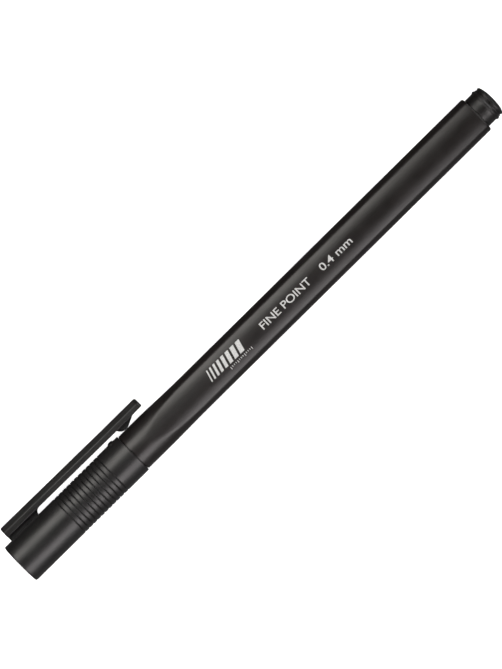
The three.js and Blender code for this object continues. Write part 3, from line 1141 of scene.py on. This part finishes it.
# Lights, in metres from the pen's middle, degrees and watts.
BOX_REACH = 0.32
BOX_MIDDLE = -0.054  # the boxes stand beside the cap, so the light falls off towards the tail
BOX_SIZE = (0.28, 0.2)
BOX_POWER = 0.78
CLIP_SIDE_LEAN = 38.5  # from straight up
FAR_SIDE_LEAN = 54
CLIP_SIDE_TINT = (1, 0.97, 0.925)
FAR_SIDE_TINT = (1, 0.95, 0.955)
END_REACH = 0.3  # past each end of the pen
END_HIGH = 0.08
END_SIZE = (0.1, 0.2)
TAIL_POWER = 0.27
HEAD_POWER = 0.2
CORNER_ALONG = 0.5
CORNER_ASIDE = 0.24
CORNER_HIGH = 0.22
CORNER_SIZE = (0.25, 0.25)
CORNER_POWER = 0.52
GLOW_AT = -0.019
GLOW_HIGH = 0.12
GLOW_SIZE = (0.03, 0.03)
GLOW_POWER = 0.0042
FILL = 0.012
TABLE_SIDE_GLOW = 0.11
TABLE_UNDER_GLOW = 0.12
TABLE_GLOW_LEAN = math.radians(118)  # the brightest direction of the side glow, from straight up


def side_box(name, side, lean_deg, colour):
    """One of the two wide boxes that give the bands of light along the pen."""
    lean = math.radians(lean_deg)
    target = (BOX_MIDDLE, AXIS_Y, AXIS_Z)
    aside = side * BOX_REACH * math.sin(lean)
    spot = (BOX_MIDDLE, AXIS_Y + aside, AXIS_Z + BOX_REACH * math.cos(lean))
    area_light(name, spot, target, BOX_SIZE, BOX_POWER, colour)


def end_box(name, side, end, power):
    """A low box past one end of the pen."""
    spot = (end + side * END_REACH, AXIS_Y, AXIS_Z + END_HIGH)
    area_light(name, spot, (end, AXIS_Y, AXIS_Z), END_SIZE, power)


def build_light():
    """The side boxes, a box past each end, one at each corner, a small glow overhead and a dim fill."""
    side_box("clip_side_box", 1, CLIP_SIDE_LEAN, CLIP_SIDE_TINT)
    side_box("far_side_box", -1, FAR_SIDE_LEAN, FAR_SIDE_TINT)
    end_box("tail_box", 1, plug_high.x, TAIL_POWER)
    end_box("head_box", -1, cap_low.x, HEAD_POWER)
    for along in (-1, 1):
        for side in (-1, 1):
            spot = (along * CORNER_ALONG, AXIS_Y + side * CORNER_ASIDE, CORNER_HIGH)
            area_light("corner_box", spot, (0, AXIS_Y, AXIS_Z), CORNER_SIZE, CORNER_POWER)
    target = (GLOW_AT, AXIS_Y, AXIS_Z)
    spot = (GLOW_AT, AXIS_Y, AXIS_Z + GLOW_HIGH)
    glow = area_light("top_glow", spot, target, GLOW_SIZE, GLOW_POWER)
    glow.visible_camera = False
    build_fill()


def build_fill():
    """A dim even fill, brighter from below and from low on the far side, as off a pale table."""
    world = bpy.data.worlds.new("fill")
    bpy.context.scene.world = world
    world.use_nodes = True
    nodes = world.node_tree.nodes
    links = world.node_tree.links
    direction = nodes.new("ShaderNodeTexCoord").outputs["Generated"]

    def glow(towards, low, high, from_low, from_high):
        """Rises from low to high as the direction turns `towards` the given one."""
        facing = nodes.new("ShaderNodeVectorMath")
        facing.operation = "DOT_PRODUCT"
        facing.inputs[1].default_value = towards
        links.new(direction, facing.inputs[0])
        level = nodes.new("ShaderNodeMapRange")
        level.inputs["From Min"].default_value = from_low
        level.inputs["From Max"].default_value = from_high
        level.inputs["To Min"].default_value = low
        level.inputs["To Max"].default_value = high
        links.new(facing.outputs["Value"], level.inputs["Value"])
        return level.outputs["Result"]

    beside = (0, -math.sin(TABLE_GLOW_LEAN), math.cos(TABLE_GLOW_LEAN))
    total = nodes.new("ShaderNodeMath")
    total.operation = "ADD"
    links.new(glow(beside, FILL, FILL + TABLE_SIDE_GLOW, 0.3, 0.85), total.inputs[0])
    links.new(glow((0, 0, -1), 0, TABLE_UNDER_GLOW, 0.45, 0.85), total.inputs[1])
    sky = nodes["Background"]
    sky.inputs["Color"].default_value = (1, 1, 1, 1)
    links.new(total.outputs["Value"], sky.inputs["Strength"])


FLOOR_R = 2.4
BACKDROP_R = 1.2  # of the bend from the floor up into the backdrop
BACKDROP_HIGH = 3.2
FLOOR_SIDES = 64


def floor_ring(radius, height):
    """A level circle of points round the world's Z axis, in metres."""
    turns = [TURN * i / FLOOR_SIDES for i in range(FLOOR_SIDES)]
    return [(radius * math.sin(angle), radius * math.cos(angle), height) for angle in turns]


def build_stage():
    """A pale floor that rises into a backdrop all round."""
    rings = [[(0, 0, 0)]]
    for radius in (0.02, 0.1, 0.4, 1.2, FLOOR_R):
        rings.append(floor_ring(radius, 0))
    for phi in stretch(0, math.pi / 2, 10)[1:]:
        out = FLOOR_R + BACKDROP_R * math.sin(phi)
        rings.append(floor_ring(out, BACKDROP_R * (1 - math.cos(phi))))
    rings.append(floor_ring(FLOOR_R + BACKDROP_R, BACKDROP_HIGH))
    mesh = ring_mesh("floor", rings)
    skin = Surface("floor_white")
    speck = skin.noise(size_mm=40, detail=2)
    skin.colour(skin.mix(skin.span(speck, 0, 1), (0.8, 0.8, 0.8), (0.82, 0.82, 0.82)))
    skin.put(Roughness=0.9, Emission_Color=(1, 1, 1, 1), Emission_Strength=0.85)
    floor = new_object("floor", mesh, skin.material)
    floor.visible_glossy = False
    floor.visible_diffuse = False


build_camera()
build_light()
build_stage()
build_cap()
build_clip()
build_barrel()
build_liner()
build_holder()
build_sleeve()
build_nib()
build_core()
build_film()
build_plug()
print_emblem()
print_words("print_name", "FINE POINT", NAME_SPAN)
print_words("print_size", "0.4 mm", SIZE_SPAN)
bpy.context.scene.view_settings.view_transform = "Standard"
